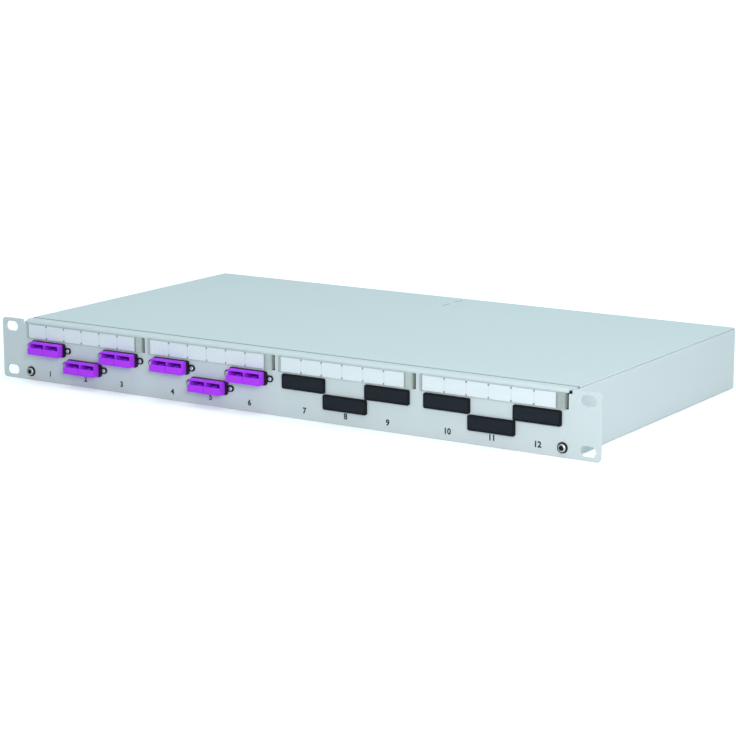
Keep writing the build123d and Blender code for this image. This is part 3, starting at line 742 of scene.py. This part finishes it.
panShells = []
for port in fittedPorts:
    middle = middleOf(f"adapter_{port}")
    for side in (-1, 1):
        foot = (middle.x + side * panScrew["spread"] * mm, earFront, middle.z)
        panShells.append(placed(panRows(panScrew), "front", foot))
madePiece("adapter_screws", "adapter_screws_cross", panShells)
print("screws made")


# Cable glands on the rear wall: threaded bodies with a hexagon collar, ribbed dome nuts, seals and locknuts

traySheet = 1.0
boreGap = 0.05
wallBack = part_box("gland_locknuts")[1].y + traySheet * mm
glandSizes = {
    "reach": 12.5,
    "collar": 12.0,
    "collarDepth": 5.0,
    "collarEdge": 0.5,
    "collarTrims": (0.7, 1.9),
    "boreEdge": 0.3,
    "bore": 7.3,
    "inside": 9.0,
    "topThread": 12.0,
    "nutStart": 5.2,
    "nutLength": 14.0,
    "nutRadius": 11.9,
    "nutNose": 8.7,
    "nutMouth": 7.5,
    "ribs": 20,
    "ribRise": 0.035,
    "sealReach": 10.0,
    "sealOuter": 7.2,
    "sealRows": 31,
    "sealInner": 5.15,
    "sealLip": 0.15,
    "sealPitch": 2.5,
    "locknut": 13.0,
    "locknutDepth": 4.0,
    "locknutEdge": 0.6,
    "locknutTrims": (0.6, 2.0),
    "wallThread": {"radius": 10.0, "depth": 0.45, "pitch": 1.5, "rowsPerPitch": 8},
    "nutThread": {"radius": 9.4, "depth": 0.35, "pitch": 1.5, "rowsPerPitch": 8},
    "steps": 96,
}
nutLow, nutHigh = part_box("gland_nuts")
glandReach = glandSizes["reach"] * mm
glandRise = (nutLow.z + nutHigh.z) / 2
glandPlaces = [(x, wallBack, glandRise) for x in (nutLow.x + glandReach, nutHigh.x - glandReach)]


# Gland body: wall thread, hexagon collar, top thread, and a bore with a broken edge at both ends
def glandBodyRows(s):
    steps, depth, edge = s["steps"], s["collarDepth"], s["boreEdge"]
    bore = [(s["bore"] + edge, s["topThread"], 0), (s["bore"], s["topThread"] - edge, 0)]
    bore += [(s["bore"], edge - s["inside"], 0), (s["bore"] + edge, -s["inside"], 0)]
    foot = [(s["wallThread"]["radius"] - 0.6, -s["inside"], 0)]
    return lathe(
        turnedRows([bore[-1]] + foot, steps),
        threadRows(s["wallThread"], -s["inside"] + 0.4, 0.0, steps),
        hexagonRows(s["collar"], 0.0, depth, s["collarEdge"], s["collarTrims"], steps),
        threadRows(s["nutThread"], depth, s["topThread"], steps, 0.7),
        turnedRows(bore, steps),
    )


# Dome nut: a closed loop of wall, elliptical dome, mouth and bore, whose wall follows the ribs
def glandNutRows(s):
    steps, start, end = s["steps"], s["nutStart"], s["nutStart"] + s["nutLength"]
    radius, nose, mouth = s["nutRadius"], s["nutNose"], s["nutMouth"]
    bore = s["nutThread"]["radius"] + boreGap
    dome = arcPoints((nose - 0.6, end - 4.8), (radius - nose + 0.3, 4.2), (8.0, 78.0), 9)
    outer = np.vstack([
        [(bore, start, 0), (radius - 0.5, start, 0), (radius, start + 0.5, 0.4), (radius, start + 1.0, 1)],
        [(radius, end - 6.4, 1), (radius - 0.1, end - 5.6, 0.3), (radius - 0.35, end - 5.2, 0)],
        dome,
        [(nose - 0.35, end - 0.1, 0), (nose - 0.7, end, 0), (mouth + 0.5, end, 0), (mouth, end - 0.5, 0)],
        [(mouth, start + s["nutLength"] / 2, 0), (bore, start + s["nutLength"] / 2, 0), (bore, start, 0)],
    ])
    return turnedRows(outer, steps, ribShape(s["ribs"], s["ribRise"]))


# Seal: a sleeve whose bore is a cosine of the height, one lip a pitch
def glandSealRows(s):
    high, outer = s["topThread"], s["sealOuter"]
    low = high - s["sealReach"]
    height = np.linspace(low, high, s["sealRows"])
    inner = s["sealInner"] - s["sealLip"] * np.cos((height - high) * 2.0 * np.pi / s["sealPitch"])
    loop = np.vstack([
        [(outer - 0.2, low, 0), (outer, low + 0.2, 0), (outer, high - 0.4, 0), (outer - 0.3, high, 0)],
        np.column_stack([inner, height, np.zeros_like(height)])[::-1],
        [(outer - 0.2, low, 0)],
    ])
    return turnedRows(loop, s["steps"] // 2)


# Locknut inside the wall: a hexagon prism with a bore through it
def locknutRows(s):
    high, bore, steps = -traySheet, s["wallThread"]["radius"] + boreGap, s["steps"] * 3 // 4
    low = high - s["locknutDepth"]
    return lathe(
        turnedRows([(bore, low, 0)], steps),
        hexagonRows(s["locknut"], low, high, s["locknutEdge"], s["locknutTrims"], steps),
        turnedRows([(bore, high, 0), (bore, low, 0)], steps),
    )


for node, name, rows in (
    ("gland_bodies", "gland_bodies_threaded", glandBodyRows),
    ("gland_nuts", "gland_nuts_ribbed", glandNutRows),
    ("gland_seals", "gland_seals_lipped", glandSealRows),
    ("gland_locknuts", "gland_locknuts_hex", locknutRows),
):
    madePiece(node, name, [placed(rows(glandSizes), "back", place) for place in glandPlaces])


# Blind plugs in the spare cable holes: a low dome with a rolled rim, and a skirt through the wall

blindPlug = {
    "radius": 12.5,
    "rise": 2.4,
    "crown": 0.35,
    "crownShare": 0.72,
    "skirt": 10.1,
    "skirtDepth": 5.0,
    "wall": 1.4,
    "steps": 72,
}
plugLow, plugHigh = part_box("blind_plugs")
plugReach = blindPlug["radius"] * mm


# Plug: the rise less a square of the radius over the middle, a rolled rim, and a skirt with a snap bead
def blindRows(s):
    radius, rise, skirt, low = s["radius"], s["rise"], s["skirt"], -s["skirtDepth"]
    inner = skirt - s["wall"]
    share = np.linspace(0.0, 1.0, 7)
    loop = np.vstack([
        np.column_stack([s["crownShare"] * share * radius, rise - s["crown"] * share ** 2, np.zeros(7)]),
        arcPoints((radius * 0.76, rise - 1.6), (radius * 0.24, 1.25), (70.0, -20.0), 7),
        [(radius - 0.35, 0, 0), (skirt, 0, 0), (skirt - 0.1, -0.9, 0), (skirt, -1.6, 0)],
        [(skirt - 0.5, low, 0), (inner, low, 0), (inner, 0.4, 0), (0, 0.7, 0)],
    ])
    return turnedRows(loop, s["steps"])


blindShells = [
    placed(blindRows(blindPlug), "back", (x, wallBack, (plugLow.z + plugHigh.z) / 2))
    for x in (plugLow.x + plugReach, plugHigh.x - plugReach)
]
madePiece("blind_plugs", "blind_plugs_domed", blindShells)


# Earth stud with its flanged nut inside the wall

earthSizes = {
    "collar": 5.0,
    "collarDepth": 4.0,
    "collarEdge": 0.3,
    "collarTrims": (0.2, 1.0),
    "length": 12.0,
    "shank": -6.0,
    "nut": 4.0,
    "nutTrim": 0.15,
    "nutLow": -5.5,
    "flange": 5.4,
    "outerThread": {"radius": 3.0, "depth": 0.45, "pitch": 1.0, "rowsPerPitch": 10},
    "innerThread": {"radius": 2.5, "depth": 0.35, "pitch": 0.8, "rowsPerPitch": 8},
    "steps": 48,
}


# Earth stud: inner thread, hexagon collar against the wall, outer thread with a broken end
def earthRows(s):
    steps, depth = s["steps"], s["collarDepth"]
    tip = depth + s["length"]
    return lathe(
        turnedRows([(0, s["shank"], 0)], steps),
        threadRows(s["innerThread"], s["shank"], 0.0, steps),
        hexagonRows(s["collar"], 0.0, depth, s["collarEdge"], s["collarTrims"], steps),
        threadRows(s["outerThread"], depth, tip, steps, 0.7),
        turnedRows([(0, tip, 0)], steps),
    )


# Flanged nut: hexagon with its outer corners cut, running out into a round flange against the wall
def earthNutRows(s):
    low, high, nut, flange, steps = s["nutLow"], -traySheet, s["nut"], s["flange"], s["steps"]
    bore = s["innerThread"]["radius"] + boreGap
    foot = [(nut + 0.5, high - 1.1, 0), (flange - 0.2, high - 0.6, 0)]
    foot += [(flange, high - 0.3, 0), (flange, high, 0)]
    return lathe(
        turnedRows([(bore, low, 0)], steps),
        turnedRows([(nut, low, 1)], steps, polygonShape(6), nut + s["nutTrim"]),
        turnedRows([(nut, low + 0.4, 1), (nut, high - 1.3, 1)], steps, polygonShape(6)),
        turnedRows(foot + [(bore, high, 0), (bore, low, 0)], steps),
    )


earthMiddle = middleOf("earth_stud")
earthPlace = (earthMiddle.x, wallBack, earthMiddle.z)
madePiece("earth_stud", "earth_stud_threaded", [placed(earthRows(earthSizes), "back", earthPlace)])
madePiece("earth_nut", "earth_nut_flanged", [placed(earthNutRows(earthSizes), "back", earthPlace)])
print("rear wall fittings made")


# Cassette stud and its knurled nut

studSizes = {
    "radius": 2.5,
    "neck": 0.35,
    "runOut": 2.0,
    "steps": 48,
    "nut": 5.8,
    "nutHeight": 5.0,
    "knurls": 36,
    "knurlRise": 0.022,
    "thread": {"radius": 2.5, "depth": 0.35, "pitch": 0.8, "rowsPerPitch": 8},
}
studLow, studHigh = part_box("cassette_stud")
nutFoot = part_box("cassette_nut")[0].z
studTop = (studHigh.z - studLow.z) / mm
threadStart = (nutFoot - studLow.z) / mm - studSizes["runOut"]


# Stud: a plain foot, a neck, and a thread up to the top
def studRows(s, start, top):
    radius, steps = s["radius"], s["steps"]
    body = [(0, 0, 0), (radius, 0, 0), (radius, start - 0.4, 0), (radius - s["neck"], start - 0.1, 0)]
    return lathe(
        turnedRows(body, steps),
        threadRows(s["thread"], start, top, steps, 0.6),
        turnedRows([(0, top, 0)], steps),
    )


# Knurled nut: a closed loop whose wall follows the knurls, with a collar on top
def knurledRows(s):
    nut, top, bore = s["nut"], s["nutHeight"], s["radius"] + boreGap
    loop = [(bore, 0, 0), (nut - 0.4, 0, 0), (nut, 0.4, 1), (nut, top - 1.1, 1), (nut - 0.4, top - 0.7, 0)]
    loop += [(nut - 1.6, top - 0.6, 0), (nut - 1.9, top, 0), (bore + 0.3, top, 0), (bore, top - 0.3, 0)]
    return turnedRows(loop + [(bore, 0, 0)], 3 * s["steps"], ribShape(s["knurls"], s["knurlRise"]))


studMiddle = middleOf("cassette_stud")
studShell = placed(studRows(studSizes, threadStart, studTop), "up", (studMiddle.x, studMiddle.y, studLow.z))
knurledShell = placed(knurledRows(studSizes), "up", (studMiddle.x, studMiddle.y, nutFoot))
madePiece("cassette_stud", "cassette_stud_threaded", [studShell])
madePiece("cassette_nut", "cassette_nut_knurled", [knurledShell])


# Rounded rectangle rings: each row has a width, height, corner radius and depth, and the angle runs round the
# four corner centres, so straight sides come between the corner arcs
def rectangleRows(table, arcSteps):
    width, height, corner, depth = np.array(table, float).T[:, :, None]
    quarter = np.arange(4 * arcSteps) // arcSteps
    turn = (quarter + (np.arange(4 * arcSteps) % arcSteps) / (arcSteps - 1.0)) * np.pi / 2.0
    across = np.where((quarter == 0) | (quarter == 3), 1.0, -1.0)
    rise = np.where(quarter < 2, 1.0, -1.0)
    x = across * (width / 2.0 - corner) + corner * np.cos(turn)
    y = rise * (height / 2.0 - corner) + corner * np.sin(turn)
    return np.stack(np.broadcast_arrays(x, y, depth), axis=-1)


# Rows of a rounded edge: the outline draws in by one minus the cosine while the depth rises by the sine
def edgeRows(width, height, corner, foot, top, edge, count=5):
    turn = np.linspace(0.0, np.pi / 2.0, count)
    inset = edge * (1.0 - np.cos(turn))
    rows = [(width, height, corner, foot)]
    for draw, rise in zip(inset, edge * np.sin(turn)):
        rows.append((width - 2 * draw, height - 2 * draw, max(corner - draw, 0.02), top - edge + rise))
    return rows


roundedSharp = 40.0  # degrees, above the turn between the rows of a rounded edge


# The pole of a shell of rectangle rings: a tiny ring at a depth
def poleRow(depth, width=0.02):
    return (width, 0.02, 0.01, depth)


# Blanking plugs: rounded head with a border, a dished face, and two tapered legs

blankSizes = {
    "width": 34.0,
    "height": 10.1,
    "corner": 1.2,
    "edge": 0.35,
    "border": 1.3,
    "dish": 0.45,
    "head": 1.8,
    "legOuter": 13.05,
    "legWall": 1.2,
    "legHeight": 6.4,
    "legReach": 7.5,
    "legRoot": 0.3,
    "legTaper": 0.8,
    "legCorner": 0.1,
    "dishDeep": 0.8,
    "dishFacing": 0.3,
}


# Head: rectangle rings up a rounded edge, then inwards and down into the dish
def blankHead(s):
    width, height, head = s["width"], s["height"], s["head"]
    rows = [poleRow(0.0, width - height), (width, height, s["corner"], 0.0)]
    rows += edgeRows(width, height, s["corner"], 0.0, head, s["edge"])
    for draw, drop in ((0.85, 0.0), (1.0, 0.06), (1.25, 0.6), (1.5, 0.94), (1.8, 1.0)):
        inset = 2 * s["border"] * draw
        corner = max(s["corner"] - 0.5 * draw, 0.3)
        rows.append((width - inset, height - inset, corner, head - s["dish"] * drop))
    rows.append(poleRow(head - s["dish"] * 0.75, width - height))
    return rectangleRows(rows, 6)


# Leg: a straight bar that tapers near its end
def blankLeg(s):
    wall, tall, corner, root, end = s["legWall"], s["legHeight"], s["legCorner"], s["legRoot"], -s["legReach"]
    rows = [poleRow(root), (wall, tall, corner, root), (wall, tall, corner, end + s["legTaper"])]
    rows += [(wall - 0.4, tall - 0.6, corner, end), poleRow(end)]
    return rectangleRows(rows, 3)


# Faces of the dish: those that lie inside the border and face the front
def dishTest(low, high, s):
    inset, depth = 1.1 * s["border"] * mm, s["dishDeep"] * mm

    def test(centre, normal):
        inside = (centre[:, 0] > low.x + inset) & (centre[:, 0] < high.x - inset)
        inside &= (centre[:, 2] > low.z + inset) & (centre[:, 2] < high.z - inset)
        return inside & (centre[:, 1] < low.y + depth) & (normal[:, 1] < -s["dishFacing"])
    return test


for port in blankPorts:
    node = f"blanking_plug_{port}"
    low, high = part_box(node)
    headBack = low.y + blankSizes["head"] * mm
    middle = (low + high) / 2
    legShift = (blankSizes["legOuter"] - blankSizes["legWall"] / 2) * mm
    shells = [placed(blankHead(blankSizes), "front", (middle.x, headBack, middle.z))]
    for side in (-1, 1):
        shells.append(placed(blankLeg(blankSizes), "front", (middle.x + side * legShift, headBack, middle.z)))
    piece = madePiece(node, f"blank_{port}_dished", shells, "border", roundedSharp)
    addFinish(piece.data, "dish", dishTest(low, high, blankSizes))


# Dust caps: a block with rounded edges and a slightly crowned face, and two tapered plugs in the ports

capSizes = {
    "edge": 0.45,
    "corner": 0.4,
    "depth": 2.3,
    "crown": 0.12,
    "plugWidth": 5.0,
    "plugHeight": 3.2,
    "plugDepth": 5.4,
    "plugPitch": 6.2,
    "plugCorner": 0.2,
    "plugRoot": 0.3,
    "plugTaper": 0.8,
    "plugRise": 0.25,
    "pairShift": 6.5,
}


# Cap block: rectangle rings up a rounded edge and inwards over a face that rises to the crown
def capBlock(width, height, s):
    face = s["depth"] - s["crown"]
    rows = [poleRow(0.0), (width, height, s["corner"], 0.0)]
    rows += edgeRows(width, height, s["corner"], 0.0, face, s["edge"])
    for share, rise in ((0.75, 0.05), (0.5, 0.09), (0.2, 0.115)):
        rows.append((width * share, height * share * 0.9, 0.2 * share, face + rise))
    rows.append(poleRow(s["depth"]))
    return rectangleRows(rows, 5)


# Cap plug: a straight block that tapers near its end
def capPlug(s):
    width, height, corner = s["plugWidth"], s["plugHeight"], s["plugCorner"]
    root, end = s["plugRoot"], -s["plugDepth"]
    rows = [poleRow(root), (width, height, corner, root), (width, height, corner, end + s["plugTaper"])]
    rows += [(width - 0.8, height - 0.6, corner, end), poleRow(end)]
    return rectangleRows(rows, 3)


for node in capNames:
    low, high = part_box(node)
    back = low.y + capSizes["depth"] * mm
    middle = (low + high) / 2
    adapterMiddle = middleOf("adapter_" + node.split("_")[2])
    side = 1 if middle.x > adapterMiddle.x else -1
    block = capBlock((high.x - low.x) / mm, (high.z - low.z) / mm, capSizes)
    shells = [placed(block, "front", (middle.x, back, middle.z))]
    plugMiddle = adapterMiddle.x + side * capSizes["pairShift"] * mm
    plugRise = middle.z + capSizes["plugRise"] * mm
    for step in (-0.5, 0.5):
        foot = (plugMiddle + step * capSizes["plugPitch"] * mm, back, plugRise)
        shells.append(placed(capPlug(capSizes), "front", foot))
    madePiece(node, node.replace("dust_cap", "cap_crowned"), shells, sharpAngle=roundedSharp)
print("plugs and caps made")


# Label strips: paper with a notch above and below at each division

stripSizes = {"fields": 6, "notch": 0.7, "notchDepth": 0.6, "slope": 0.05, "bands": 7}


# Strip: columns along the length, each rising evenly from the lower notch to the height less the upper one
def stripPiece(node, s):
    low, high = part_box(node)
    length, height = (high.x - low.x) / mm, (high.z - low.z) / mm
    divisions = np.arange(1, s["fields"]) * length / s["fields"]
    half = s["notch"] / 2
    offsets = np.array([-half - s["slope"], -half, half, half + s["slope"]])
    along = np.sort(np.concatenate([[0.0, length], (divisions[:, None] + offsets).ravel()]))
    gap = np.abs(along[:, None] - divisions[None, :]).min(axis=1)
    notch = np.where(gap <= half + 1e-6, s["notchDepth"], 0.0)[:, None]
    share = np.linspace(0.0, 1.0, s["bands"])[None, :]
    rise = notch + share * (height - 2.0 * notch)
    x = np.broadcast_to(along[:, None], rise.shape)
    points = np.stack([x * mm + low.x, np.full(rise.shape, high.y), rise * mm + low.z], axis=-1)
    rows, columns = rise.shape
    corner = (np.arange(rows - 1)[:, None] * columns + np.arange(columns - 1)[None, :]).ravel()
    faces = np.stack([corner, corner + columns, corner + columns + 1, corner + 1], axis=-1)
    name = node + "_printed"
    mesh = bpy.data.meshes.new(name)
    mesh.from_pydata(points.reshape(-1, 3).tolist(), [], faces.tolist())
    spread = np.stack([x / length, rise / height], axis=-1).reshape(-1, 2)
    layer = mesh.uv_layers.new(name="strip")
    layer.data.foreach_set("uv", spread[faces.ravel()].ravel())
    piece = settle(newObject(name, mesh), node)
    mesh.shade_flat()
    thick = piece.modifiers.new("thick", "SOLIDIFY")
    thick.thickness = high.y - low.y
    thick.offset = 1.0
    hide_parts(node)


for strip in range(1, 5):
    stripPiece(f"label_strip_{strip}", stripSizes)


# Port numbers printed under the ports, 1 to 12

numberPrint = {"height": 5.4, "middleRise": 6.1, "film": 0.02, "bold": 0.09, "spread": 0.13}


# Numbers: each port's digits in one mesh, centred under the port and pressed flat on the plate
def printNumbers(s):
    work = bmesh.new()
    for port in range(1, 13):
        node = f"adapter_{port}" if port in fittedPorts else f"blanking_plug_{port}"
        text = bpy.data.curves.new(f"digits{port}", "FONT")
        text.body = str(port)
        text.align_x = "CENTER"
        text.align_y = "CENTER"
        text.size = s["height"] * mm
        text.offset = s["bold"] * mm
        text.bevel_depth = s["spread"] * mm
        text.bevel_resolution = 0
        holder = newObject(f"digits{port}", text)
        bpy.context.view_layer.update()
        digits = bpy.data.meshes.new_from_object(holder)
        place = (middleOf(node).x, frontFace - s["film"] * mm, undersideZ + s["middleRise"] * mm)
        # the bevel widens the strokes, then the digits are pressed down to a film
        flat = Matrix.Diagonal((1.0, 1.0, s["film"] / (2 * s["spread"]), 1.0))
        digits.transform(Matrix.Translation(place) @ Matrix.Rotation(math.pi / 2, 4, "X") @ flat)
        work.from_mesh(digits)
        bpy.data.objects.remove(holder)
        bpy.data.curves.remove(text)
        bpy.data.meshes.remove(digits)
    mesh = bpy.data.meshes.new("port_numbers")
    work.to_mesh(mesh)
    work.free()
    piece = newObject("port_numbers", mesh)
    mesh.materials.clear()
    mesh.materials.append(finishes["ink"])
    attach(piece, bodyOf["front_plate"])


printNumbers(numberPrint)
print("labels and numbers made")


# Studio: pale floor under the housing, soft lights from above, right and front

# lamps: name, place, target, size, power and tint
studio = {
    "floorSize": 40.0,
    "floorColour": (0.86, 0.88, 0.89),
    "glowNear": 0.26,
    "glowSlope": 0.30,
    "glossyShare": 0.3,
    "white": (1.0, 1.0, 1.0),
    "worldColour": (0.88, 0.98, 1.0),
    "worldStrength": 0.45,
    "lamps": [
        ("keyLamp", (0.74, -0.76, 0.40), (0.18, 0.0, 0.0), 0.40, 5.7, (1.0, 0.98, 0.95)),
        ("topLamp", (0.1, 0.2, 1.6), (0.0, 0.12, 0.0), 1.6, 14.8, (0.72, 0.97, 1.0)),
        ("sideLamp", (1.6, 0.5, 0.6), (0.22, 0.12, 0.0), 1.0, 2.7, (1.0, 0.98, 0.96)),
    ],
}


# Floor: diffuse plus a glow for direct rays, growing evenly with the distance from the object up to white
def makeFloor(settings):
    half = settings["floorSize"] / 2
    corners = [(x, y, undersideZ) for x, y in ((-half, -half), (half, -half), (half, half), (-half, half))]
    mesh = bpy.data.meshes.new("floor")
    mesh.from_pydata(corners, [], [(0, 1, 2, 3)])
    floor = newObject("floor", mesh)
    finish = Finish("floorWhite", Roughness=0.9, Specular_IOR_Level=0.0)
    finish.colour(settings["floorColour"])
    here = finish.node("ShaderNodeTexCoord", {}, {}, "Object")
    away = finish.node("ShaderNodeVectorMath", {"operation": "LENGTH"}, {0: here}, "Value")
    # near the object the floor keeps its shadow, and further off it runs into white
    spread = away * settings["glowSlope"] + settings["glowNear"]
    glow = finish.node("ShaderNodeMath", {"operation": "MINIMUM"}, {0: spread, 1: 1.0})
    strength = finish.whiteShare(settings["glossyShare"]) * glow
    lift = finish.node("ShaderNodeEmission", {}, {"Color": settings["white"], "Strength": strength})
    shader = Wire(finish, finish.shader.outputs["BSDF"])
    total = finish.node("ShaderNodeAddShader", {}, {0: shader, 1: lift})
    finish.feed(finish.tree.nodes["Material Output"].inputs["Surface"], total)
    mesh.materials.append(finish.material)


# Lamp: a round soft light aimed from its place to its target
def makeLamp(name, place, target, size, power, tint):
    data = bpy.data.lights.new(name, "AREA")
    data.shape = "DISK"
    data.size = size
    data.energy = power
    data.color = tint
    lamp = newObject(name, data)
    lamp.location = place
    aim = Vector(target) - Vector(place)
    lamp.rotation_euler = aim.to_track_quat("-Z", "Y").to_euler()


# World: dim light on the object, plain white behind it, and part of that white in its reflections
def makeWorld(settings):
    world = bpy.data.worlds.new("world")
    bpy.context.scene.world = world
    world.use_nodes = True
    network = Network(world.node_tree)
    dimLight = {"Color": settings["worldColour"], "Strength": settings["worldStrength"]}
    dim = network.node("ShaderNodeBackground", {}, dimLight)
    white = network.node("ShaderNodeBackground", {}, {"Color": settings["white"]})
    share = network.whiteShare(settings["glossyShare"])
    mixed = network.node("ShaderNodeMixShader", {}, {0: share, 1: dim, 2: white})
    network.feed(network.tree.nodes["World Output"].inputs["Surface"], mixed)


makeFloor(studio)
makeWorld(studio)
for lampSettings in studio["lamps"]:
    makeLamp(*lampSettings)
bpy.context.scene.view_settings.view_transform = "Standard"
print("studio made")
